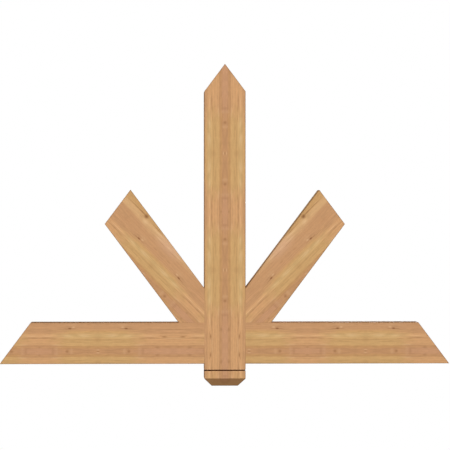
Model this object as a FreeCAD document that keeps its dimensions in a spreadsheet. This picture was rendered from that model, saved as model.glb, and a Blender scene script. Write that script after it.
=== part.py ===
"""Decorative gable truss of four flush timbers: king post, bottom chord and two braces.

The post is halved over the chord, the braces butt into the two corners between them, and every
fixing is a structural screw driven from the back, so nothing shows on the front.

Frame, in millimetres: X runs along the chord, Y from the front to the wall, Z up. The origin is
on the centre line, in the plane of the backs, level with the underside of the chord.
"""
import FreeCAD, Part
import math
import os

import Sketcher

SIZES = {
    # Outline of the gable
    "span": 1524.0,
    "pitch_rise": 16.0,
    "pitch_run": 12.0,
    # Section of the timbers
    "timber_face": 139.7,
    "timber_depth": 88.9,
    # Foot of the king post
    "post_drop": 76.2,
    "foot_chamfer": 25.4,
    "kerf_above_foot": 54.0,
    "kerf_width": 4.0,
    "kerf_depth": 6.4,
    # Halving between post and chord
    "lap_depth": 44.45,
    "lap_screw_spacing": 76.2,
    "lap_screw_recess": 8.0,
    # Structural screw
    "screw_shank": 6.4,
    "screw_point": 9.0,
    "screw_head": 14.0,
    "screw_head_height": 4.0,
    "drive_across_flats": 5.0,
    "drive_depth": 2.5,
    "front_cover": 11.0,
    # Bores for the screws
    "bore_clearance": 0.1,
    "pocket_bore": 16.0,
    "pocket_angle": 45.0,
    "pocket_grip": 30.0,
    "bore_run_out": 1.0,
    # Places of the brace screws, as shares of the two seats of a brace
    "post_screw_low_share": 0.56,
    "post_screw_high_share": 0.84,
    "chord_screw_share": 0.5,
}

ROOF_SLOPE = "(Sizes.pitch_rise / Sizes.pitch_run)"
ROOF_ANGLE = f"atan({ROOF_SLOPE})"
APEX_HEIGHT = f"(Sizes.span / 2 * {ROOF_SLOPE})"
HALF_FACE = "(Sizes.timber_face / 2)"
HALF_DEPTH = "(Sizes.timber_depth / 2)"
POST_SEAT = f"({HALF_FACE} / cos({ROOF_ANGLE}))"
CHORD_SEAT = f"({HALF_FACE} / sin({ROOF_ANGLE}))"
SCREW_LENGTH = "(Sizes.timber_depth - Sizes.lap_screw_recess - Sizes.front_cover)"
POCKET_ANGLE = "(Sizes.pocket_angle * 1 deg)"
POCKET_LEAN = f"(90 deg - {POCKET_ANGLE})"

# The sketcher's own numbers for a sketch's axes and for the points of an edge
V_AXIS, H_AXIS = range(-2, 0)
ORIGIN = H_AXIS
START, END, CENTRE = range(1, 4)

doc = FreeCAD.newDocument("gable_truss")


# Sheet of sizes

sheet = doc.addObject("Spreadsheet::Sheet", "Sizes")
for row, (alias, value) in enumerate(SIZES.items(), start=1):
    sheet.set(f"A{row}", alias)
    sheet.set(f"B{row}", str(value))
    sheet.setAlias(f"B{row}", alias)
doc.recompute()


# Helpers for sketches and bindings

def number(formula):
    """The value that a formula of the sheet's sizes has now."""
    result = sheet.evalExpression(formula)
    return float(getattr(result, "Value", result))


def bind(feature, formulas):
    """Ties properties of a feature to formulas of the sheet's sizes."""
    for name, formula in formulas.items():
        feature.setExpression(name, formula)


def new_sketch(body, name, role, offset=None):
    """A sketch on one of the body's own origin planes, or on a plane parallel to it."""
    sketch = body.newObject("Sketcher::SketchObject", name)
    planes = [plane for plane in body.Origin.OriginFeatures if plane.Role == role]
    sketch.AttachmentSupport = [(planes[0], "")]
    sketch.MapMode = "FlatFace"
    if offset:
        sketch.setExpression("AttachmentOffset.Base.z", offset)
    return sketch


def draw_outline(sketch, corners):
    """A closed outline through corners given as pairs of formulas. Returns its first edge's number."""
    points = [FreeCAD.Vector(number(across), number(up), 0) for across, up in corners]
    first = sketch.GeometryCount
    count = len(points)
    for index in range(count):
        sketch.addGeometry(Part.LineSegment(points[index], points[(index + 1) % count]), False)
    for index in range(count):
        following = first + (index + 1) % count
        sketch.addConstraint(Sketcher.Constraint("Coincident", first + index, END, following, START))
    return first


def rule(sketch, *constraint):
    """Adds a geometric constraint."""
    sketch.addConstraint(Sketcher.Constraint(*constraint))


def size(sketch, formula, *constraint):
    """Adds a dimension that is tied to a formula."""
    index = sketch.addConstraint(Sketcher.Constraint(*constraint, number(formula)))
    sketch.setExpression(f"Constraints[{index}]", formula)


def slope(sketch, formula, edge):
    """Holds an edge at an angle to the horizontal that is tied to a formula in degrees."""
    index = sketch.addConstraint(Sketcher.Constraint("Angle", edge, math.radians(number(formula))))
    sketch.setExpression(f"Constraints[{index}]", formula)


def draw_centred_rectangle(sketch, width, low, high):
    """A rectangle centred on the vertical axis, between two heights that are formulas."""
    left, right = f"-({width}) / 2", f"({width}) / 2"
    base = draw_outline(sketch, [(left, low), (right, low), (right, high), (left, high)])
    rule(sketch, "Symmetric", base, START, base, END, V_AXIS)
    rule(sketch, "Vertical", base + 1)
    rule(sketch, "Vertical", base + 3)
    rule(sketch, "Horizontal", base + 2)
    size(sketch, width, "DistanceX", base, START, base, END)
    size(sketch, f"({high}) - ({low})", "DistanceY", base + 1, START, base + 1, END)
    size(sketch, low, "DistanceY", ORIGIN, START, base, START)


def draw_hexagon(sketch, across_flats):
    """A regular hexagon about the origin, with one corner on the horizontal axis."""
    reach = f"({across_flats} / sqrt(3))"
    sides = range(6)
    first, *others = sides
    draw_outline(sketch, [(f"{reach} * cos({60 * i} deg)", f"{reach} * sin({60 * i} deg)") for i in sides])
    middle, upright = FreeCAD.Vector(0, 0, 0), FreeCAD.Vector(0, 0, 1)
    ring = sketch.addGeometry(Part.Circle(middle, upright, number(reach)), True)
    rule(sketch, "Coincident", ring, CENTRE, ORIGIN, START)
    for side in sides:
        rule(sketch, "PointOnObject", side, START, ring)
    for side in others:
        rule(sketch, "Equal", first, side)
    rule(sketch, "PointOnObject", first, START, H_AXIS)
    size(sketch, f"2 * {reach}", "Diameter", ring)


def new_body(name):
    return doc.addObject("PartDesign::Body", name)


def pad(body, sketch, length):
    feature = body.newObject("PartDesign::Pad", f"{body.Name}_pad")
    feature.Profile = sketch
    bind(feature, {"Length": length})
    doc.recompute()
    return feature


def cut(body, sketch, name, length):
    """Pockets the sketch along its own normal, and makes sure that wood came off."""
    before = body.Shape.Volume
    feature = body.newObject("PartDesign::Pocket", name)
    feature.Profile = sketch
    feature.Reversed = True
    bind(feature, {"Length": length})
    doc.recompute()
    if body.Shape.Volume >= before:
        raise RuntimeError(f"{name} cut nothing")
    return feature


# King post: pointed at the roof line, halved at the back for the chord, with a kerfed and chamfered foot

def king_post_blank():
    body = new_body("king_post_blank")
    outline = new_sketch(body, "king_post_outline", "XZ_Plane")
    shoulder = f"{APEX_HEIGHT} - {HALF_FACE} * {ROOF_SLOPE}"
    bottom, right, right_slope, left_slope, left = range(5)
    draw_outline(outline, [
        (f"-{HALF_FACE}", "-Sizes.post_drop"),
        (HALF_FACE, "-Sizes.post_drop"),
        (HALF_FACE, shoulder),
        ("0", APEX_HEIGHT),
        (f"-{HALF_FACE}", shoulder),
    ])
    rule(outline, "Symmetric", bottom, START, bottom, END, V_AXIS)
    rule(outline, "Vertical", right)
    rule(outline, "Vertical", left)
    rule(outline, "PointOnObject", right_slope, END, V_AXIS)
    rule(outline, "Horizontal", right_slope, START, left_slope, END)
    size(outline, "Sizes.timber_face", "DistanceX", bottom, START, bottom, END)
    size(outline, "Sizes.post_drop", "DistanceY", bottom, START, ORIGIN, START)
    size(outline, APEX_HEIGHT, "DistanceY", ORIGIN, START, right_slope, END)
    size(outline, f"{HALF_FACE} * {ROOF_SLOPE}", "DistanceY", right_slope, START, right_slope, END)
    timber = pad(body, outline, "Sizes.timber_depth")

    lowest = min(range(len(timber.Shape.Faces)), key=lambda i: timber.Shape.Faces[i].CenterOfMass.z)
    foot = body.newObject("PartDesign::Chamfer", "foot_chamfers")
    foot.Base = (timber, [f"Face{lowest + 1}"])
    bind(foot, {"Size": "Sizes.foot_chamfer"})
    doc.recompute()

    kerf_bottom = "-Sizes.post_drop + Sizes.kerf_above_foot - Sizes.kerf_width / 2"
    kerf = new_sketch(body, "kerf_ring", "XY_Plane", kerf_bottom)
    outer_width = "(Sizes.timber_face + 2 * Sizes.kerf_depth)"
    inner_width = "(Sizes.timber_face - 2 * Sizes.kerf_depth)"
    draw_centred_rectangle(kerf, outer_width, "-Sizes.timber_depth - Sizes.kerf_depth", "Sizes.kerf_depth")
    draw_centred_rectangle(kerf, inner_width, "-Sizes.timber_depth + Sizes.kerf_depth", "-Sizes.kerf_depth")
    cut(body, kerf, "saw_kerf", "Sizes.kerf_width")

    housing = new_sketch(body, "chord_housing", "XZ_Plane")
    draw_centred_rectangle(housing, "2 * Sizes.timber_face", "0", "Sizes.timber_face")
    cut(body, housing, "post_halving", "Sizes.lap_depth")
    return body


# Bottom chord: ends cut to the roof line, halved at the front for the post

def bottom_chord_blank():
    body = new_body("bottom_chord_blank")
    outline = new_sketch(body, "bottom_chord_outline", "XZ_Plane")
    end_run = f"Sizes.timber_face / {ROOF_SLOPE}"
    half_span, half_top = "Sizes.span / 2", f"(Sizes.span / 2 - {end_run})"
    bottom, right_end, top, left_end = range(4)
    draw_outline(outline, [
        (f"-{half_span}", "0"),
        (half_span, "0"),
        (half_top, "Sizes.timber_face"),
        (f"-{half_top}", "Sizes.timber_face"),
    ])
    rule(outline, "Symmetric", bottom, START, bottom, END, V_AXIS)
    rule(outline, "Symmetric", top, START, top, END, V_AXIS)
    rule(outline, "PointOnObject", bottom, START, H_AXIS)
    size(outline, "Sizes.span", "DistanceX", bottom, START, bottom, END)
    size(outline, "Sizes.timber_face", "DistanceY", right_end, START, right_end, END)
    size(outline, end_run, "DistanceX", right_end, END, right_end, START)
    pad(body, outline, "Sizes.timber_depth")

    housing = new_sketch(body, "post_housing", "XZ_Plane", "Sizes.lap_depth")
    draw_centred_rectangle(housing, "Sizes.timber_face", "-Sizes.timber_face / 2", "1.5 * Sizes.timber_face")
    cut(body, housing, "chord_halving", "Sizes.timber_depth - Sizes.lap_depth")
    return body


# Right brace: its centre line starts in the corner of post and chord and rises to the roof line

def right_brace_blank():
    body = new_body("right_brace_blank")
    outline = new_sketch(body, "right_brace_outline", "XZ_Plane")
    outer_foot = f"({HALF_FACE} + {CHORD_SEAT})"
    inner_foot = f"(Sizes.timber_face + {POST_SEAT})"
    outer_x = f"({APEX_HEIGHT} - Sizes.timber_face + {ROOF_SLOPE} * {outer_foot}) / 2 / {ROOF_SLOPE}"
    inner_x = f"({APEX_HEIGHT} - {inner_foot} + {ROOF_SLOPE} * {HALF_FACE}) / 2 / {ROOF_SLOPE}"
    on_chord, outer, end_cut, inner, on_post = range(5)
    draw_outline(outline, [
        (HALF_FACE, "Sizes.timber_face"),
        (outer_foot, "Sizes.timber_face"),
        (outer_x, f"{APEX_HEIGHT} - {ROOF_SLOPE} * {outer_x}"),
        (inner_x, f"{APEX_HEIGHT} - {ROOF_SLOPE} * {inner_x}"),
        (HALF_FACE, inner_foot),
    ])
    eave = FreeCAD.Vector(number("Sizes.span / 2"), 0, 0)
    apex = FreeCAD.Vector(0, number(APEX_HEIGHT), 0)
    roof_line = outline.addGeometry(Part.LineSegment(eave, apex), True)
    rule(outline, "PointOnObject", roof_line, START, H_AXIS)
    rule(outline, "PointOnObject", roof_line, END, V_AXIS)
    size(outline, "Sizes.span / 2", "DistanceX", ORIGIN, START, roof_line, START)
    size(outline, APEX_HEIGHT, "DistanceY", ORIGIN, START, roof_line, END)
    rule(outline, "Horizontal", on_chord)
    rule(outline, "Vertical", on_post)
    rule(outline, "Parallel", outer, inner)
    rule(outline, "PointOnObject", outer, END, roof_line)
    rule(outline, "PointOnObject", inner, START, roof_line)
    size(outline, HALF_FACE, "DistanceX", ORIGIN, START, on_chord, START)
    size(outline, "Sizes.timber_face", "DistanceY", ORIGIN, START, on_chord, START)
    size(outline, CHORD_SEAT, "DistanceX", on_chord, START, on_chord, END)
    size(outline, POST_SEAT, "DistanceY", on_post, END, on_post, START)
    slope(outline, ROOF_ANGLE, outer)
    pad(body, outline, "Sizes.timber_depth")
    return body


# Structural screw and its stepped bore: turned about Y, with the seat of the head at the origin

def turn(body, corners):
    """Turns a half section about Y, with each corner's radius and height tied to formulas."""
    section = new_sketch(body, f"{body.Name}_section", "XY_Plane")
    draw_outline(section, corners)
    for edge, (radius, height) in enumerate(corners):
        if radius == "0":
            rule(section, "PointOnObject", edge, START, V_AXIS)
        else:
            size(section, radius, "DistanceX", ORIGIN, START, edge, START)
        if height == "0":
            rule(section, "PointOnObject", edge, START, H_AXIS)
        else:
            size(section, height, "DistanceY", ORIGIN, START, edge, START)
    feature = body.newObject("PartDesign::Revolution", f"{body.Name}_turned")
    feature.Profile = section
    feature.ReferenceAxis = (section, ["V_Axis"])
    feature.Angle = 360
    doc.recompute()


def structural_screw():
    """Washer head with a hexagon socket, plain shank and point."""
    body = new_body("structural_screw")
    head, shank = "Sizes.screw_head / 2", "Sizes.screw_shank / 2"
    turn(body, [
        ("0", "Sizes.screw_head_height"),
        (head, "Sizes.screw_head_height"),
        (head, "0"),
        (shank, "0"),
        (shank, f"-{SCREW_LENGTH} + Sizes.screw_point"),
        ("0", f"-{SCREW_LENGTH}"),
    ])
    socket = new_sketch(body, "drive_hexagon", "XZ_Plane", "-Sizes.screw_head_height")
    draw_hexagon(socket, "Sizes.drive_across_flats")
    cut(body, socket, "drive_socket", "Sizes.drive_depth")
    return body


def stepped_bore():
    """What a drill takes out for one screw: a wide pocket for the head and a hole for the shank."""
    body = new_body("stepped_bore")
    pocket, hole = "Sizes.pocket_bore / 2", "Sizes.screw_shank / 2 + Sizes.bore_clearance"
    way_out, blind_end = "Sizes.timber_depth", f"-{SCREW_LENGTH} - Sizes.bore_run_out"
    turn(body, [
        ("0", way_out),
        (pocket, way_out),
        (pocket, "0"),
        (hole, "0"),
        (hole, blind_end),
        ("0", blind_end),
    ])
    return body


def placed(name, source, place, lean_axis, lean):
    """A copy of a body, set at a place of three formulas and leaning about one axis."""
    copy = doc.addObject("App::Link", name)
    copy.LinkedObject = source
    copy.Placement = FreeCAD.Placement(FreeCAD.Vector(), FreeCAD.Rotation(lean_axis, number(lean)))
    bind(copy, {f"Placement.Base.{axis}": formula for axis, formula in zip("xyz", place)})
    bind(copy, {"Placement.Rotation.Angle": lean})
    return copy


def group(name, members):
    compound = doc.addObject("Part::Compound", name)
    compound.Links = members
    return compound


def mirrored(name, source):
    """The same piece on the other side of the centre line."""
    twin = doc.addObject("Part::Mirroring", name)
    twin.Source = source
    twin.Normal = FreeCAD.Vector(1, 0, 0)
    return twin


def screws_and_bores(name, places, lean_axis=FreeCAD.Vector(0, 0, 1), lean="0 deg"):
    """Equal screws at several places, as one group, and the bores that they need, as another."""
    pair = []
    for group_name, source in ((name, screw), (f"{name}_bores", bore)):
        copies = [
            placed(f"{group_name}_{index}", source, place, lean_axis, lean)
            for index, place in enumerate(places, start=1)
        ]
        pair.append(group(group_name, copies))
    return pair


def lap_places():
    """The four corners of a square in the middle of the halving, sunk below the back."""
    offset = "Sizes.lap_screw_spacing / 2"
    return [
        (f"{side} * {offset}", "-Sizes.lap_screw_recess", f"{HALF_FACE} + {level} * {offset}")
        for level in (-1, 1)
        for side in (-1, 1)
    ]


def post_screw_places():
    """Up the seat on the post, each head drawn back from mid depth along the slanting bore."""
    back_x = f"{HALF_FACE} + Sizes.pocket_grip * cos({POCKET_ANGLE})"
    back_y = f"-{HALF_DEPTH} + Sizes.pocket_grip * sin({POCKET_ANGLE})"
    return [
        (back_x, back_y, f"Sizes.timber_face + Sizes.{share} * {POST_SEAT}")
        for share in ("post_screw_low_share", "post_screw_high_share")
    ]


def chord_screw_places():
    """One in the shorter seat on the chord, its head drawn back in the same way."""
    along = f"{HALF_FACE} + Sizes.chord_screw_share * {CHORD_SEAT}"
    back_y = f"-{HALF_DEPTH} + Sizes.pocket_grip * sin({POCKET_ANGLE})"
    back_z = f"Sizes.timber_face + Sizes.pocket_grip * cos({POCKET_ANGLE})"
    return [(along, back_y, back_z)]


def bored(name, blank, bores):
    """A timber with its bores cut, which is the finished piece."""
    timber = doc.addObject("Part::Cut", name)
    timber.Base = blank
    timber.Tool = group(f"{name}_bores", bores)
    return timber


# Assembly

post_blank = king_post_blank()
chord_blank = bottom_chord_blank()
brace_blank = right_brace_blank()
screw = structural_screw()
bore = stepped_bore()

lap_screws, lap_bores = screws_and_bores("lap_screws", lap_places())
right_post_screws, right_post_bores = screws_and_bores(
    "right_brace_to_post_screws", post_screw_places(), FreeCAD.Vector(0, 0, -1), POCKET_LEAN)
right_chord_screw, right_chord_bore = screws_and_bores(
    "right_brace_to_chord_screw", chord_screw_places(), FreeCAD.Vector(1, 0, 0), POCKET_LEAN)

left_post_screws = mirrored("left_brace_to_post_screws", right_post_screws)
left_chord_screw = mirrored("left_brace_to_chord_screw", right_chord_screw)
left_post_bores = mirrored("left_brace_to_post_bores", right_post_bores)
left_chord_bore = mirrored("left_brace_to_chord_bore", right_chord_bore)

king_post = bored("king_post", post_blank, [lap_bores, left_post_bores, right_post_bores])
bottom_chord = bored("bottom_chord", chord_blank, [lap_bores, left_chord_bore, right_chord_bore])
right_brace = bored("right_brace", brace_blank, [right_post_bores, right_chord_bore])
left_brace = mirrored("left_brace", right_brace)

SUB_PARTS = (
    king_post,
    bottom_chord,
    left_brace,
    right_brace,
    lap_screws,
    left_post_screws,
    left_chord_screw,
    right_post_screws,
    right_chord_screw,
)
doc.recompute()


# Checks and export

for feature in doc.Objects:
    if {"Invalid", "Error"} & set(feature.State):
        raise RuntimeError(f"{feature.Name} did not build: {feature.State}")
for piece in SUB_PARTS:
    if piece.Shape.isNull() or not piece.Shape.isValid():
        raise RuntimeError(f"{piece.Label} has no valid shape")

os.makedirs("parts", exist_ok=True)
for piece in SUB_PARTS:
    piece.Shape.exportStep(f"parts/{piece.Label}.step")
    print(piece.Label, len(piece.Shape.Solids), "solids,", round(piece.Shape.Volume / 1000, 1), "cm3")
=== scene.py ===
"""Looks of a flat timber gable truss: planed softwood with eased edges, coated screws, white studio."""
import math

import bmesh
import bpy
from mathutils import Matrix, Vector
from mathutils.bvhtree import BVHTree


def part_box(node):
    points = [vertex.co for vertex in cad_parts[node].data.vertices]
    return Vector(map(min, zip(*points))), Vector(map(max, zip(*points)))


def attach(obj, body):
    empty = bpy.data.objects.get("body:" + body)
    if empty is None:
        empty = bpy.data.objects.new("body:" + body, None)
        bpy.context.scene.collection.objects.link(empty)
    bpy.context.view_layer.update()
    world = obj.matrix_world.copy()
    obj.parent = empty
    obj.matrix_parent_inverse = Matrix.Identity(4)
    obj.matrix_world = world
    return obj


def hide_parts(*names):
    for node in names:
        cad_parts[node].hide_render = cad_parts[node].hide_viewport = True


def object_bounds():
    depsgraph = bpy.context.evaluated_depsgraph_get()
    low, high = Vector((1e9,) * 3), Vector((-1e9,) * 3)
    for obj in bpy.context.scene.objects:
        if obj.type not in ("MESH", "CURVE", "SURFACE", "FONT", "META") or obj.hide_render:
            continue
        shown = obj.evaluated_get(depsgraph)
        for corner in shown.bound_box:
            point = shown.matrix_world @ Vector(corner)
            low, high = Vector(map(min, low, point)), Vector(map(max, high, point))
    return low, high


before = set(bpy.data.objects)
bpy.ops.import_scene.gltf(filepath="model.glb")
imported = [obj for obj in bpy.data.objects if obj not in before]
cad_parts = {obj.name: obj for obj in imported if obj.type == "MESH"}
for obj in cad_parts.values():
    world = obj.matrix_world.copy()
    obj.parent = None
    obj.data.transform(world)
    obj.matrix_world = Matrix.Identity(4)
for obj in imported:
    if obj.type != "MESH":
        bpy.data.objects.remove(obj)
cad_low, cad_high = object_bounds()

# Sizes in metres, worked out from the frame
TIMBERS = ["king_post", "bottom_chord", "left_brace", "right_brace"]
post_low, post_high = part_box("king_post")
chord_low, chord_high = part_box("bottom_chord")
HALF_FACE = (post_high.x - post_low.x) / 2
HALF_DEPTH = (post_high.y - post_low.y) / 2
FRONT_PLANE = post_low.y
POST_MIDDLE = (post_low.z + post_high.z) / 2
MIDDLE = (cad_low + cad_high) / 2
CLOSE = 1e-4
brace_corners = [vertex.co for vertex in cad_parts["right_brace"].data.vertices]
BRACE_SEAT_TOP = max(corner.z for corner in brace_corners if corner.x < HALF_FACE + CLOSE)
BRACE_FOOT_REACH = max(corner.x for corner in brace_corners if corner.z < chord_high.z + CLOSE)
FOOT_HEIGHT = 0.03
post_levels = [vertex.co.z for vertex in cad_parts["king_post"].data.vertices]
kerf_levels = [level for level in post_levels if post_low.z + FOOT_HEIGHT < level < chord_low.z - CLOSE]
KERF_LEVEL = (min(kerf_levels) + max(kerf_levels)) / 2
KERF_HALF_WIDTH = (max(kerf_levels) - min(kerf_levels)) / 2

# Eased arrises of the timbers
EDGE_EASE = 0.0012
EDGE_SEGMENTS = 3
MERGE_DISTANCE = 2e-6
FLAT_ANGLE = math.radians(0.5)
SHARP_ANGLE = math.radians(25)
CREASE_ANGLE = math.radians(35)
SHORTEST_EASED_EDGE = 0.012
RIM_WIDTH = 0.003
PROBE = 0.001
SKEW_RAY = Vector((0.31, 0.52, 0.79)).normalized()

# Board of the softwood: one length, mirrored end to end and about its heart, in metres
BOARD_LENGTH = 0.4535
BOARD_FOLD = 0.2557
GRAIN_REACH = 0.17
GRAIN_SLOPE = math.radians(45)
RING_PITCH = 0.0046
MARK_DEPTH = 0.17
STREAK_SHIFT = (0.0, 0.0, 0.829)
PINKISH_TO_GOLDEN = (0.075, 0.17)
LIVELY_TO_CALM = (0.078, 0.1)
CLEAR_TIP = 0.115
CLEAR_FADE = 0.015

# Where the board begins and its heart lies on each timber, from the timber's middle
POST_BOARD_START = -0.4085
POST_HEART = 0.0
CHORD_BOARD_START = -0.174
CHORD_HEART = -0.0272
BRACE_BOARD_START = 0.2402
BRACE_HEART = -0.072

# Noise of the wood, in cells per metre along the grain, into the depth and across the grain
WAVER_CELLS = (26.0, 40.0, 90.0)
STREAK_CELLS = (8.0, 200.0, 200.0)
CLOUD_CELLS = (24.0, 70.0, 70.0)
RING_WAVER_CELLS = (5.0, 40.0, 40.0)
FIBRE_CELLS = (34.0, 300.0, 300.0)
PORE_CELLS = (60.0, 1900.0, 1900.0)
RIPPLE_CELLS = (80.0, 60.0, 60.0)

# How far that noise moves the grain, its bands and its tones, in metres, and its rings, in rings
WAVER_REACH = (0.006, 0.002, 0.0028)
STREAK_WANDER = 0.004
CLOUD_WANDER = 0.12
RING_WANDER = 1.2

# A ring, from 0 to 1: where the latewood darkens and where it ends, and the clouds that let it show
RING_DARKENS = (0.35, 0.9)
RING_ENDS = (1.0, 0.93)
RING_CLOUDS = (-0.05, 0.2)

# Strength of each thing that colours the wood
LATEWOOD_SHARE = 0.2
CLOUD_LIGHT = 0.14
STREAK_LIGHT, STREAK_CALMED = 0.52, 0.28
FIBRE_LIGHT, FIBRE_CALMED = 0.32, 0.12
RIPPLE_LIGHT = 0.08
PORE_LIGHT = 0.12
END_FACING = (0.3, 0.68)
END_BROWN_SHARE = 0.55
END_LATEWOOD_SHARE = 0.45
END_PORE_LIGHT = 0.3
# Painted edge shade and wear on the arrises, and how the streaks vary it
EDGE_SHADE_AND_WEAR_SHARE = 0.5
EDGE_SHADE_AND_WEAR_STREAK = 0.6

# Surface of the wood and of the screws
WOOD_ROUGHNESS = 0.76
FIBRE_ROUGHENS = 0.16
END_ROUGHENS = 0.16
RUBBING_SMOOTHS = 0.2
KNOT_SMOOTHS = 0.12
WOOD_SPECULAR = 0.05
WOOD_BUMP = 0.35
WOOD_BUMP_DEPTH = 0.0006
LATEWOOD_HEIGHT = 0.4
PORE_HEIGHT = 0.5
MOTTLE_CELLS = (420.0, 420.0, 420.0)
GRIT_CELLS = (2600.0, 2600.0, 2600.0)
WORN_MOTTLE = (0.05, 0.22)
STEEL_ROUGHNESS = 0.62
GRIT_ROUGHENS = 0.25
STEEL_BUMP = 0.2
STEEL_BUMP_DEPTH = 0.0001

# Sockets of the Mix node when it mixes colours
MIX_FIRST, MIX_SECOND, MIX_RESULT = 6, 7, 2

# Camera and studio
CAMERA_DISTANCE = 7.887
CAMERA_LEFT = 0.254
CAMERA_LENS = 186.4
CAMERA_SENSOR = 36.0
CAMERA_REACH = 100.0
FRONT_LAMP_DISTANCE = 28.0
REAR_LAMP_DISTANCE = 14.0
LAMP_SPREAD = 0.171
ROOM_LIGHT = 0.02
FLOOR_DROP = 0.5
FLOOR_RADIUS = 16.0
FLOOR_SIDES = 64
FLOOR_FADE = (0.8, 2.4)
FLOOR_WHITE_NEAR = 0.6


def srgb(red, green, blue):
    """A colour in screen values of 0 to 255, as the linear RGBA that sockets take."""
    shares = [value / 255 for value in (red, green, blue)]
    linear = [s / 12.92 if s <= 0.04045 else ((s + 0.055) / 1.055) ** 2.4 for s in shares]
    return (*linear, 1.0)


WHITE = (1.0, 1.0, 1.0, 1.0)
LATEWOOD = srgb(168, 112, 66)
KNOT_BROWN = srgb(112, 62, 30)
PALE_WOOD = srgb(236, 200, 156)
ROSY_WOOD = srgb(211, 166, 132)
# Dark brown painted into the kerf as its shade
KERF_SHADE_BROWN = srgb(62, 24, 2)
END_BROWN = srgb(138, 98, 64)
# Brown of the painted edge shade and wear on the arrises
EDGE_SHADE_AND_WEAR_BROWN = srgb(120, 80, 48)
FLOOR_PALE = srgb(190, 190, 188)
STEEL_COAT = srgb(128, 116, 92)
STEEL_WORN = srgb(96, 92, 84)

# Tones of the wood, and the bands that they form by distance from the heart
HEART_ROSE = srgb(194, 146, 109)
HEART_AMBER = srgb(191, 144, 102)
RUSSET = srgb(190, 145, 98)
PEACH = srgb(204, 156, 110)
STRAW = srgb(200, 159, 107)
HONEY = srgb(206, 169, 116)
TAN = srgb(195, 148, 106)
CREAM = srgb(213, 171, 123)
WHEAT = srgb(209, 166, 118)
OCHRE = srgb(197, 154, 103)
GOLDEN_BANDS = [
    (0.0000, HEART_AMBER),
    (0.0085, HEART_AMBER),
    (0.0120, RUSSET),
    (0.0155, RUSSET),
    (0.0215, STRAW),
    (0.0410, STRAW),
    (0.0525, HONEY),
    (0.0660, OCHRE),
    (0.0760, TAN),
    (0.1120, TAN),
    (0.1350, CREAM),
    (0.1480, OCHRE),
]
PINKISH_BANDS = [
    (0.0000, HEART_ROSE),
    (0.0085, HEART_ROSE),
    (0.0120, HEART_AMBER),
    (0.0180, HEART_AMBER),
    (0.0215, PEACH),
    (0.0540, PEACH),
    (0.0660, TAN),
    (0.1220, TAN),
    (0.1300, WHEAT),
    (0.1430, WHEAT),
    (0.1520, OCHRE),
]

# Marks on the board: place along it, distance from its heart, half length, half width, strength
DARK_MARKS = [
    (0.1605, 0.0772, 0.0095, 0.0042, 0.80),
    (0.1490, 0.0760, 0.0140, 0.0022, 0.42),
    (0.1745, 0.0765, 0.0150, 0.0022, 0.26),
    (0.1257, 0.1470, 0.0125, 0.0110, 0.72),
    (0.1077, 0.1487, 0.0220, 0.0032, 0.42),
    (0.0757, 0.1488, 0.0500, 0.0032, 0.46),
    (0.1857, 0.1430, 0.0420, 0.0028, 0.42),
    (0.0305, 0.0490, 0.0140, 0.0046, 0.48),
    (0.0430, 0.0520, 0.0110, 0.0020, 0.34),
    (0.1512, 0.0000, 0.0085, 0.0090, 0.38),
    (0.1035, 0.0040, 0.0075, 0.0150, 0.16),
    (0.0545, 0.0130, 0.0110, 0.0055, 0.20),
    (0.1550, 0.0118, 0.0320, 0.0024, 0.20),
    (0.2557, 0.0000, 0.0105, 0.0026, 0.62),
    (0.0800, 0.0454, 0.0340, 0.0019, 0.30),
    (0.1360, 0.0418, 0.0220, 0.0022, 0.28),
    (0.0300, 0.0612, 0.0340, 0.0022, 0.20),
    (0.0000, 0.0394, 0.0340, 0.0026, 0.16),
    (0.0150, 0.0740, 0.0400, 0.0020, 0.16),
    (0.1720, 0.0612, 0.0280, 0.0060, 0.12),
    (0.2557, 0.0420, 0.0300, 0.0190, 0.17),
    (0.0480, 0.0425, 0.0220, 0.0034, 0.15),
    (0.1050, 0.0425, 0.0180, 0.0036, 0.15),
    (0.0850, 0.0900, 0.0480, 0.0080, 0.07),
    (0.1137, 0.1360, 0.0120, 0.0130, 0.14),
    (0.2300, 0.1180, 0.0340, 0.0019, 0.34),
    (0.2240, 0.0905, 0.0130, 0.0022, 0.28),
]
PALE_MARKS = [
    (0.1722, 0.0816, 0.0090, 0.0044, 0.40),
    (0.1530, 0.0515, 0.0260, 0.0070, 0.18),
    (0.2090, 0.0532, 0.0300, 0.0090, 0.24),
    (0.0800, 0.0514, 0.0400, 0.0024, 0.26),
    (0.0100, 0.0434, 0.0240, 0.0022, 0.20),
    (0.1357, 0.1320, 0.0150, 0.0110, 0.28),
    (0.2150, 0.1248, 0.0330, 0.0032, 0.32),
    (0.2557, 0.1248, 0.0180, 0.0032, 0.34),
    (0.1980, 0.1364, 0.0400, 0.0032, 0.38),
    (0.0620, 0.1522, 0.0180, 0.0022, 0.20),
    (0.1720, 0.0905, 0.0250, 0.0070, 0.09),
    (0.1165, 0.0070, 0.0080, 0.0150, 0.08),
    (0.1660, 0.0040, 0.0090, 0.0090, 0.12),
    (0.2557, 0.0048, 0.0105, 0.0032, 0.30),
    (0.1150, 0.0218, 0.0340, 0.0036, 0.20),
]
ROSY_MARKS = [
    (0.2450, 0.1280, 0.0650, 0.0340, 0.66),
]


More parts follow.
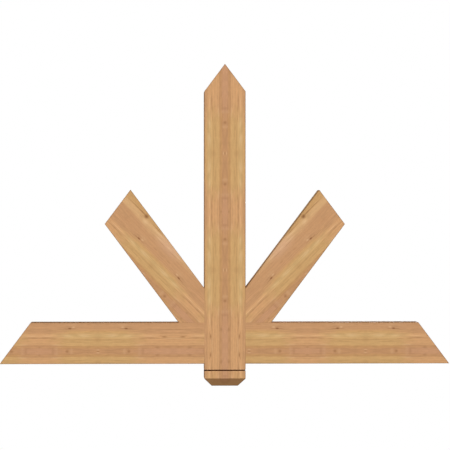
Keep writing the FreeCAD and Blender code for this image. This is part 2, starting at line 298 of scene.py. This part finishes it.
class NodeSheet:
    """The node tree of one material or world, with short calls that add and link nodes."""

    def __init__(self, owner):
        owner.use_nodes = True
        self.tree = owner.node_tree
        self.tree.nodes.clear()

    def add(self, kind, **settings):
        node = self.tree.nodes.new(kind)
        for name, value in settings.items():
            setattr(node, name, value)
        return node

    def feed(self, socket, value):
        if isinstance(value, bpy.types.NodeSocket):
            self.tree.links.new(value, socket)
        else:
            socket.default_value = value

    def math(self, operation, first, second=0.0, third=0.0):
        node = self.add("ShaderNodeMath", operation=operation)
        for socket, value in zip(node.inputs, (first, second, third)):
            self.feed(socket, value)
        return node.outputs[0]

    def vector(self, operation, first, second):
        node = self.add("ShaderNodeVectorMath", operation=operation)
        self.feed(node.inputs[0], first)
        self.feed(node.inputs[1], second)
        return node.outputs["Value" if operation in ("DOT_PRODUCT", "DISTANCE") else "Vector"]

    def length(self, vector):
        return self.vector("DISTANCE", vector, (0.0, 0.0, 0.0))

    def scaled(self, vector, factor):
        node = self.add("ShaderNodeVectorMath", operation="SCALE")
        self.feed(node.inputs[0], vector)
        self.feed(node.inputs["Scale"], factor)
        return node.outputs["Vector"]

    def split(self, vector):
        node = self.add("ShaderNodeSeparateXYZ")
        self.feed(node.inputs[0], vector)
        return node.outputs

    def joined(self, *values):
        node = self.add("ShaderNodeCombineXYZ")
        for socket, value in zip(node.inputs, values):
            self.feed(socket, value)
        return node.outputs[0]

    def step(self, value, start, end):
        """0 before start, 1 past end, and smooth between them. End may lie below start."""
        node = self.add("ShaderNodeMapRange", interpolation_type="SMOOTHSTEP")
        self.feed(node.inputs["Value"], value)
        falls = end < start
        node.inputs["From Min"].default_value = min(start, end)
        node.inputs["From Max"].default_value = max(start, end)
        node.inputs["To Min"].default_value = 1.0 if falls else 0.0
        node.inputs["To Max"].default_value = 0.0 if falls else 1.0
        return node.outputs["Result"]

    def noise(self, place, cells, detail):
        """A noise texture with a number of cells per metre along each axis."""
        node = self.add("ShaderNodeTexNoise")
        self.feed(node.inputs["Vector"], self.vector("MULTIPLY", place, cells))
        node.inputs["Scale"].default_value = 1.0
        node.inputs["Detail"].default_value = detail
        return node

    def speckle(self, place, cells, detail=2.0):
        """Noise as a number about 0."""
        return self.math("SUBTRACT", self.noise(place, cells, detail).outputs["Fac"], 0.5)

    def drift(self, place, cells, detail=1.0):
        """Noise as a vector about 0."""
        noise = self.noise(place, cells, detail)
        return self.vector("SUBTRACT", noise.outputs["Color"], (0.5, 0.5, 0.5))

    def ramp(self, factor, stops):
        node = self.add("ShaderNodeValToRGB")
        elements = node.color_ramp.elements
        while len(elements) < len(stops):
            elements.new(1.0)
        for element, (place, colour) in zip(elements, stops):
            element.position = place
            element.color = colour
        self.feed(node.inputs["Fac"], factor)
        return node.outputs["Color"]

    def mix(self, factor, first, second):
        node = self.add("ShaderNodeMix", data_type="RGBA")
        self.feed(node.inputs[0], factor)
        self.feed(node.inputs[MIX_FIRST], first)
        self.feed(node.inputs[MIX_SECOND], second)
        return node.outputs[MIX_RESULT]

    def blend(self, factor, first, second):
        """A shader that goes from the first to the second."""
        node = self.add("ShaderNodeMixShader")
        self.feed(node.inputs["Fac"], factor)
        self.feed(node.inputs[1], first)
        self.feed(node.inputs[2], second)
        return node.outputs[0]

    def bump(self, height, strength, depth):
        """A normal that stands for small relief of a surface."""
        node = self.add("ShaderNodeBump")
        node.inputs["Strength"].default_value = strength
        node.inputs["Distance"].default_value = depth
        self.feed(node.inputs["Height"], height)
        return node.outputs["Normal"]

    def summed(self, values):
        total = values[0]
        for value in values[1:]:
            total = self.math("ADD", total, value)
        return total

    def surface(self, shader, kind="ShaderNodeOutputMaterial"):
        output = self.add(kind)
        self.feed(output.inputs["Surface"], shader)


# Timber materials

def grain_place(sheet, coordinates, timber, turn, mirrored):
    """A place on one timber, from its middle: along the grain, into the depth, across the grain."""
    low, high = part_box(timber)
    turned = sheet.add("ShaderNodeMapping", vector_type="TEXTURE")
    turned.inputs["Location"].default_value = (low + high) / 2
    turned.inputs["Rotation"].default_value = (0.0, turn, 0.0)
    turned.inputs["Scale"].default_value = (-1.0 if mirrored else 1.0, 1.0, 1.0)
    sheet.feed(turned.inputs["Vector"], coordinates.outputs["Object"])
    return turned.outputs["Vector"]


def board_place(sheet, place, board_start, heart):
    """A place on the board: how far along it, how deep below its front, how far from its heart."""
    along, deep, across = sheet.split(place)[:3]
    folded = sheet.math("PINGPONG", sheet.math("SUBTRACT", along, board_start), BOARD_LENGTH)
    from_fold = sheet.math("ABSOLUTE", sheet.math("SUBTRACT", folded, BOARD_FOLD))
    straight = sheet.joined(
        sheet.math("SUBTRACT", BOARD_FOLD, from_fold),
        sheet.math("ADD", deep, HALF_DEPTH),
        sheet.math("ABSOLUTE", sheet.math("SUBTRACT", across, heart)),
    )
    waver = sheet.vector("MULTIPLY", sheet.drift(straight, WAVER_CELLS), WAVER_REACH)
    return sheet.vector("ADD", straight, waver)


def banded_tone(sheet, board, radius, streak, cloud):
    """Broad tones of the wood: golden in the middle of the board and pinkish towards its end."""
    share = sheet.math("DIVIDE", sheet.math("MULTIPLY_ADD", streak, STREAK_WANDER, radius), GRAIN_REACH)
    golden_tone = sheet.ramp(share, [(reach / GRAIN_REACH, tone) for reach, tone in GOLDEN_BANDS])
    pinkish_tone = sheet.ramp(share, [(reach / GRAIN_REACH, tone) for reach, tone in PINKISH_BANDS])
    along = sheet.math("MULTIPLY_ADD", cloud, CLOUD_WANDER, sheet.split(board)["X"])
    return sheet.mix(sheet.step(along, *PINKISH_TO_GOLDEN), pinkish_tone, golden_tone)


def latewood_lines(sheet, board, radius):
    """How dark the growth rings are: pale earlywood that darkens to a thin latewood line."""
    waver = sheet.speckle(board, RING_WAVER_CELLS)
    turns = sheet.math("MULTIPLY_ADD", waver, RING_WANDER, sheet.math("DIVIDE", radius, RING_PITCH))
    share = sheet.math("FRACT", turns)
    return sheet.math("MULTIPLY", sheet.step(share, *RING_DARKENS), sheet.step(share, *RING_ENDS))


def grain_light(sheet, board, radius, streak, cloud, fibre, pore):
    """How light clouds, streaks, fibres, ripples and pores make the wood, calmer away from the heart."""
    ripple = sheet.speckle(board, RIPPLE_CELLS, detail=1.0)
    calm = sheet.step(radius, *LIVELY_TO_CALM)
    return sheet.summed([
        sheet.math("MULTIPLY_ADD", cloud, CLOUD_LIGHT, 1.0),
        sheet.math("MULTIPLY", streak, sheet.math("MULTIPLY_ADD", calm, -STREAK_CALMED, STREAK_LIGHT)),
        sheet.math("MULTIPLY", fibre, sheet.math("MULTIPLY_ADD", calm, -FIBRE_CALMED, FIBRE_LIGHT)),
        sheet.math("MULTIPLY", ripple, RIPPLE_LIGHT),
        sheet.math("MULTIPLY", pore, PORE_LIGHT),
    ])


def marked(sheet, board, marks):
    """How strongly the marks of one list colour each place on the board."""
    total = 0.0
    for along, across, half_along, half_across, strength in marks:
        offset = sheet.vector("SUBTRACT", board, (along, 0.0, across))
        reach = (1 / half_along, 1 / MARK_DEPTH, 1 / half_across)
        near = sheet.step(sheet.length(sheet.vector("MULTIPLY", offset, reach)), 1.0, 0.0)
        total = sheet.math("MULTIPLY_ADD", near, strength, total)
    return total


def end_grain(sheet, tone, latewood, pore):
    """Browner wood with plain rings, for the cuts that cross the fibres."""
    brown = sheet.mix(END_BROWN_SHARE, tone, END_BROWN)
    ringed = sheet.mix(sheet.math("MULTIPLY", latewood, END_LATEWOOD_SHARE), brown, LATEWOOD)
    return sheet.scaled(ringed, sheet.math("MULTIPLY_ADD", pore, END_PORE_LIGHT, 1.0))


def wood_material(name, timber, turn, board_start, heart, mirrored=False, kerf=None, clear_from=None):
    """Planed softwood on one timber.

    Turn is the grain's angle about Y. Board_start is where a length of board begins along the grain
    and heart where its heart lies across the grain, both from the middle of the timber. A kerf is
    given by its place along the grain, and its walls get a painted dark brown that stands in for the
    shade inside the groove. From clear_from on, the wood is clear of dark marks.
    """
    material = bpy.data.materials.new(name)
    sheet = NodeSheet(material)
    coordinates = sheet.add("ShaderNodeTexCoord")
    place = grain_place(sheet, coordinates, timber, turn, mirrored)
    along_timber = sheet.split(place)["X"]
    board = board_place(sheet, place, board_start, heart)
    radius = sheet.length(sheet.vector("MULTIPLY", board, (0.0, 1.0, 1.0)))

    # Long grain: tones, rings, streaks, fibres and fine pores
    streak = sheet.speckle(sheet.vector("ADD", board, STREAK_SHIFT), STREAK_CELLS)
    cloud = sheet.speckle(board, CLOUD_CELLS)
    fibre = sheet.speckle(board, FIBRE_CELLS)
    pore = sheet.speckle(place, PORE_CELLS)
    tone = banded_tone(sheet, board, radius, streak, cloud)
    latewood = latewood_lines(sheet, board, radius)
    patchy = sheet.math("MULTIPLY", latewood, sheet.step(cloud, *RING_CLOUDS))
    ringed = sheet.mix(sheet.math("MULTIPLY", patchy, LATEWOOD_SHARE), tone, LATEWOOD)
    grained = sheet.scaled(ringed, grain_light(sheet, board, radius, streak, cloud, fibre, pore))

    # Knots, flecks, dark lines and the pale wood beside them
    rosy = sheet.mix(marked(sheet, board, ROSY_MARKS), grained, ROSY_WOOD)
    paled = sheet.mix(marked(sheet, board, PALE_MARKS), rosy, PALE_WOOD)
    dark = marked(sheet, board, DARK_MARKS)
    if clear_from is not None:
        knotty = sheet.step(along_timber, clear_from + CLEAR_FADE, clear_from)
        dark = sheet.math("MULTIPLY", dark, knotty)
    knotted = sheet.mix(dark, paled, KNOT_BROWN)

    # End grain where a cut crosses the fibres
    grain_axis = (math.cos(turn), 0.0, -math.sin(turn))
    facing = sheet.vector("DOT_PRODUCT", coordinates.outputs["Normal"], grain_axis)
    end = sheet.step(sheet.math("ABSOLUTE", facing), *END_FACING)
    colour = sheet.mix(end, knotted, end_grain(sheet, tone, latewood, pore))

    # Painted shade: dark brown on the walls of a kerf, standing in for the shade inside the groove
    if kerf is not None:
        from_kerf = sheet.math("ABSOLUTE", sheet.math("SUBTRACT", along_timber, kerf))
        kerf_shade = sheet.step(from_kerf, KERF_HALF_WIDTH + 2 * CLOSE, KERF_HALF_WIDTH + CLOSE)
        colour = sheet.mix(kerf_shade, colour, KERF_SHADE_BROWN)

    # Arrises darkened by painted shade and by edge wear, and smoothed where worn
    arris = sheet.add("ShaderNodeAttribute", attribute_name="arris").outputs["Fac"]
    edge_shade_and_wear_strength = sheet.math("MULTIPLY_ADD", streak, EDGE_SHADE_AND_WEAR_STREAK, EDGE_SHADE_AND_WEAR_SHARE)
    edge_shade_and_wear = sheet.math("MULTIPLY", arris, edge_shade_and_wear_strength)
    colour = sheet.mix(edge_shade_and_wear, colour, EDGE_SHADE_AND_WEAR_BROWN)

    # Surface
    rough = sheet.math("MULTIPLY_ADD", fibre, FIBRE_ROUGHENS, WOOD_ROUGHNESS)
    rough = sheet.math("MULTIPLY_ADD", edge_shade_and_wear, -RUBBING_SMOOTHS, rough)
    rough = sheet.math("MULTIPLY_ADD", end, END_ROUGHENS, rough)
    rough = sheet.math("MULTIPLY_ADD", dark, -KNOT_SMOOTHS, rough)
    latewood_height = sheet.math("MULTIPLY", latewood, LATEWOOD_HEIGHT)
    pore_height = sheet.math("MULTIPLY", pore, PORE_HEIGHT)
    height = sheet.summed([fibre, latewood_height, pore_height])
    shader = sheet.add("ShaderNodeBsdfPrincipled")
    sheet.feed(shader.inputs["Base Color"], colour)
    sheet.feed(shader.inputs["Roughness"], rough)
    sheet.feed(shader.inputs["Normal"], sheet.bump(height, WOOD_BUMP, WOOD_BUMP_DEPTH))
    shader.inputs["Specular IOR Level"].default_value = WOOD_SPECULAR
    sheet.surface(shader.outputs["BSDF"])
    return material


# Screw material

def steel_material():
    """Satin coated screw steel with worn patches."""
    material = bpy.data.materials.new("screw_steel")
    sheet = NodeSheet(material)
    place = sheet.add("ShaderNodeTexCoord").outputs["Object"]
    worn = sheet.step(sheet.speckle(place, MOTTLE_CELLS), *WORN_MOTTLE)
    grit = sheet.speckle(place, GRIT_CELLS)
    rough = sheet.math("MULTIPLY_ADD", grit, GRIT_ROUGHENS, STEEL_ROUGHNESS)
    shader = sheet.add("ShaderNodeBsdfPrincipled")
    sheet.feed(shader.inputs["Base Color"], sheet.mix(worn, STEEL_COAT, STEEL_WORN))
    sheet.feed(shader.inputs["Roughness"], rough)
    sheet.feed(shader.inputs["Normal"], sheet.bump(grit, STEEL_BUMP, STEEL_BUMP_DEPTH))
    shader.inputs["Metallic"].default_value = 1.0
    sheet.surface(shader.outputs["BSDF"])
    return material


# Pieces

def merged_copy(node):
    """The CAD mesh of one node as a bmesh of whole faces."""
    shape = bmesh.new()
    shape.from_mesh(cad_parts[node].data)
    bmesh.ops.remove_doubles(shape, verts=shape.verts, dist=MERGE_DISTANCE)
    bmesh.ops.dissolve_limit(shape, angle_limit=FLAT_ANGLE, verts=shape.verts, edges=shape.edges)
    return shape


def solid_tree(node):
    """A search tree of one node's closed solid."""
    shape = merged_copy(node)
    tree = BVHTree.FromBMesh(shape)
    shape.free()
    return tree


def within(tree, point):
    """Whether a point lies inside a closed solid: a ray from there first meets the back of a wall."""
    spot, normal, _, _ = tree.ray_cast(point, SKEW_RAY)
    return spot is not None and normal.dot(SKEW_RAY) > 0


def exposed(edge, neighbours):
    """Whether the air, and no other timber, lies beside both faces of an arris."""
    middle = (edge.verts[0].co + edge.verts[1].co) / 2
    first, second = [face.normal for face in edge.link_faces]
    beside = [middle + PROBE * (first - second), middle + PROBE * (second - first)]
    return not any(within(tree, point) for tree in neighbours for point in beside)


def at_kerf(edge):
    return all(abs(vertex.co.z - KERF_LEVEL) < KERF_HALF_WIDTH + CLOSE for vertex in edge.verts)


def flush(face, point, direction):
    """Whether a face lies in the plane through a point, facing the given way."""
    parallel = face.normal.dot(direction) > 1 - CLOSE
    return parallel and abs((face.verts[0].co - point).dot(direction)) < CLOSE


def cut_rims(shape, lines):
    """Parts a narrow rim from the faces beside each arris, so that the painted edge shade and wear can
    fade across it.
    """
    for start, _, (first, second) in lines:
        for facing, other in ((first, second), (second, first)):
            inward = (other.dot(facing) * facing - other).normalized()
            faces = [face for face in shape.faces if flush(face, start, facing)]
            edges = dict.fromkeys(edge for face in faces for edge in face.edges)
            corners = dict.fromkeys(vertex for face in faces for vertex in face.verts)
            bmesh.ops.bisect_plane(
                shape, geom=[*faces, *edges, *corners], dist=MERGE_DISTANCE,
                plane_co=start + RIM_WIDTH * inward, plane_no=inward,
            )


def distance_to_line(point, start, end):
    share = (point - start).dot(end - start) / (end - start).length_squared
    return (point - start.lerp(end, min(max(share, 0.0), 1.0))).length


def mark_arrises(shape, strips, lines, arris):
    """Sets a layer of the face corners to 1 on the eased strips, fading to 0 across the rims."""
    strips = set(strips)
    for face in shape.faces:
        beside = [line for line in lines if any(flush(face, line[0], facing) for facing in line[2])]
        for corner in face.loops:
            gaps = [distance_to_line(corner.vert.co, start, end) for start, end, _ in beside]
            fade = max(0.0, 1.0 - min(gaps, default=RIM_WIDTH) / RIM_WIDTH)
            corner[arris] = 1.0 if face in strips else fade


def crease(shape):
    """Smooths the faces, and keeps the edges crisp where they meet at an angle."""
    shape.normal_update()
    for face in shape.faces:
        face.smooth = True
    for edge in shape.edges:
        edge.smooth = edge.calc_face_angle() < CREASE_ANGLE


def eased_timber(node, material, seat_cuts=()):
    """Adds a copy of one CAD timber whose exposed arrises are eased by a fine round.

    Seat_cuts are planes, each a point and a direction, where a neighbour begins to cover an arris.
    """
    neighbours = [solid_tree(other) for other in TIMBERS if other != node]
    shape = merged_copy(node)
    arris = shape.loops.layers.float.new("arris")
    for point, direction in seat_cuts:
        whole = shape.verts[:] + shape.edges[:] + shape.faces[:]
        bmesh.ops.bisect_plane(shape, geom=whole, dist=CLOSE, plane_co=point, plane_no=direction)
    shape.normal_update()
    arrises = [
        edge for edge in shape.edges
        if edge.is_manifold and edge.is_convex
        and edge.calc_face_angle() > SHARP_ANGLE
        and edge.calc_length() > SHORTEST_EASED_EDGE
        and not at_kerf(edge)
        and exposed(edge, neighbours)
    ]
    lines = []
    for edge in arrises:
        start, end = [vertex.co.copy() for vertex in edge.verts]
        lines.append((start, end, [face.normal.copy() for face in edge.link_faces]))
    eased = bmesh.ops.bevel(
        shape, geom=arrises, offset=EDGE_EASE, offset_type="OFFSET", affect="EDGES",
        segments=EDGE_SEGMENTS, profile=0.5, material=-1, clamp_overlap=True,
    )
    cut_rims(shape, lines)
    mark_arrises(shape, eased["faces"], lines, arris)
    crease(shape)
    mesh = bpy.data.meshes.new(node + "_eased")
    shape.to_mesh(mesh)
    shape.free()
    mesh.materials.clear()
    mesh.materials.append(material)
    timber = bpy.data.objects.new(node + "_eased", mesh)
    bpy.context.scene.collection.objects.link(timber)
    flat_light = timber.modifiers.new("even_faces", "WEIGHTED_NORMAL")
    flat_light.keep_sharp = True
    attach(timber, "root")
    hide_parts(node)


def dress_screws(material):
    for name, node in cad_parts.items():
        if "screw" in name:
            node.data.materials.clear()
            node.data.materials.append(material)


# Studio

def camera_sees(sheet):
    """1 for rays that show the background itself: seen directly, mirrored or through glass."""
    path = sheet.add("ShaderNodeLightPath")
    shown = sheet.math("MAXIMUM", path.outputs["Is Camera Ray"], path.outputs["Is Glossy Ray"])
    return sheet.math("MAXIMUM", shown, path.outputs["Is Transmission Ray"])


def white_room():
    """A world that lights softly and is plain white where it is seen."""
    world = bpy.data.worlds.new("white_room")
    bpy.context.scene.world = world
    sheet = NodeSheet(world)
    soft = sheet.add("ShaderNodeBackground")
    soft.inputs["Color"].default_value = WHITE
    soft.inputs["Strength"].default_value = ROOM_LIGHT
    seen = sheet.add("ShaderNodeBackground")
    seen.inputs["Color"].default_value = WHITE
    seen.inputs["Strength"].default_value = 1.0
    room = sheet.blend(camera_sees(sheet), soft.outputs[0], seen.outputs[0])
    sheet.surface(room, kind="ShaderNodeOutputWorld")


def floor_material():
    """A pale floor that fades to plain white away from the truss and keeps its soft shadow."""
    material = bpy.data.materials.new("studio_floor")
    sheet = NodeSheet(material)
    coordinates = sheet.add("ShaderNodeTexCoord")
    distance = sheet.length(coordinates.outputs["Object"])
    away = sheet.step(distance, *FLOOR_FADE)
    fade = sheet.math("MULTIPLY_ADD", away, 1.0 - FLOOR_WHITE_NEAR, FLOOR_WHITE_NEAR)
    shown = sheet.math("MULTIPLY", fade, camera_sees(sheet))
    pale = sheet.add("ShaderNodeBsdfDiffuse")
    pale.inputs["Color"].default_value = FLOOR_PALE
    white = sheet.add("ShaderNodeEmission")
    white.inputs["Color"].default_value = WHITE
    white.inputs["Strength"].default_value = 1.0
    sheet.surface(sheet.blend(shown, pale.outputs[0], white.outputs[0]))
    return material


def studio_floor():
    shape = bmesh.new()
    bmesh.ops.create_circle(shape, cap_ends=True, segments=FLOOR_SIDES, radius=FLOOR_RADIUS)
    mesh = bpy.data.meshes.new("studio_floor")
    shape.to_mesh(mesh)
    shape.free()
    mesh.materials.append(floor_material())
    floor = bpy.data.objects.new("studio_floor", mesh)
    floor.location = (0.0, 0.0, cad_low.z - FLOOR_DROP)
    bpy.context.scene.collection.objects.link(floor)


def soft_lamp(name, azimuth, elevation, share, distance):
    """A disc lamp aimed at the truss. Share is the part of the plain light level that it gives.

    Azimuth 0 stands before the truss and 90 to its right, and both angles are in degrees.
    """
    around = math.radians(azimuth)
    above = math.radians(elevation)
    towards = Vector((
        math.sin(around) * math.cos(above), -math.cos(around) * math.cos(above), math.sin(above)
    ))
    lamp = bpy.data.lights.new(name, "AREA")
    lamp.shape = "DISK"
    lamp.size = LAMP_SPREAD * distance
    lamp.energy = share * (math.pi * distance) ** 2
    holder = bpy.data.objects.new(name, lamp)
    holder.location = MIDDLE + distance * towards
    holder.rotation_euler = towards.to_track_quat("Z", "Y").to_euler()
    holder.visible_camera = False
    bpy.context.scene.collection.objects.link(holder)


def photo_camera():
    """A camera at the photo's viewing angle, a little left of the truss's middle."""
    lens = bpy.data.cameras.new("photo_camera")
    lens.lens = CAMERA_LENS
    lens.sensor_width = CAMERA_SENSOR
    lens.clip_end = CAMERA_REACH
    camera = bpy.data.objects.new("photo_camera", lens)
    camera.location = (-CAMERA_LEFT, FRONT_PLANE - CAMERA_DISTANCE, MIDDLE.z)
    aim = Vector((0.0, FRONT_PLANE, MIDDLE.z))
    camera.rotation_euler = (aim - camera.location).to_track_quat("-Z", "Y").to_euler()
    bpy.context.scene.collection.objects.link(camera)
    bpy.context.scene.camera = camera


# The four timbers
UP = Vector((0.0, 0.0, 1.0))
ALONG = Vector((1.0, 0.0, 0.0))
POST_WOOD = wood_material(
    "post_wood", "king_post", turn=-math.pi / 2, board_start=POST_BOARD_START, heart=POST_HEART,
    kerf=KERF_LEVEL - POST_MIDDLE, clear_from=post_high.z - CLEAR_TIP - POST_MIDDLE,
)
CHORD_WOOD = wood_material(
    "chord_wood", "bottom_chord", turn=0.0, board_start=CHORD_BOARD_START, heart=CHORD_HEART,
)
RIGHT_BRACE_WOOD = wood_material(
    "right_brace_wood", "right_brace", turn=-GRAIN_SLOPE,
    board_start=BRACE_BOARD_START, heart=BRACE_HEART,
)
LEFT_BRACE_WOOD = wood_material(
    "left_brace_wood", "left_brace", turn=GRAIN_SLOPE,
    board_start=BRACE_BOARD_START, heart=BRACE_HEART, mirrored=True,
)
POST_CUTS = [(level * UP, UP) for level in (chord_low.z, chord_high.z, BRACE_SEAT_TOP)]
CHORD_CUTS = [
    (side * reach * ALONG, ALONG) for reach in (HALF_FACE, BRACE_FOOT_REACH) for side in (-1, 1)
]
eased_timber("king_post", POST_WOOD, POST_CUTS)
eased_timber("bottom_chord", CHORD_WOOD, CHORD_CUTS)
eased_timber("right_brace", RIGHT_BRACE_WOOD)
eased_timber("left_brace", LEFT_BRACE_WOOD)

# The screws
dress_screws(steel_material())

# The studio
white_room()
studio_floor()
soft_lamp("front_lamp", azimuth=0, elevation=15, share=0.787, distance=FRONT_LAMP_DISTANCE)
soft_lamp("left_lamp", azimuth=-31, elevation=15, share=0.19, distance=FRONT_LAMP_DISTANCE)
soft_lamp("right_lamp", azimuth=112, elevation=-2, share=0.55, distance=REAR_LAMP_DISTANCE)
soft_lamp("back_lamp", azimuth=172, elevation=-3, share=0.82, distance=REAR_LAMP_DISTANCE)
soft_lamp("left_back_lamp", azimuth=-122, elevation=-3, share=0.2, distance=REAR_LAMP_DISTANCE)
photo_camera()
bpy.context.scene.view_settings.view_transform = "Standard"
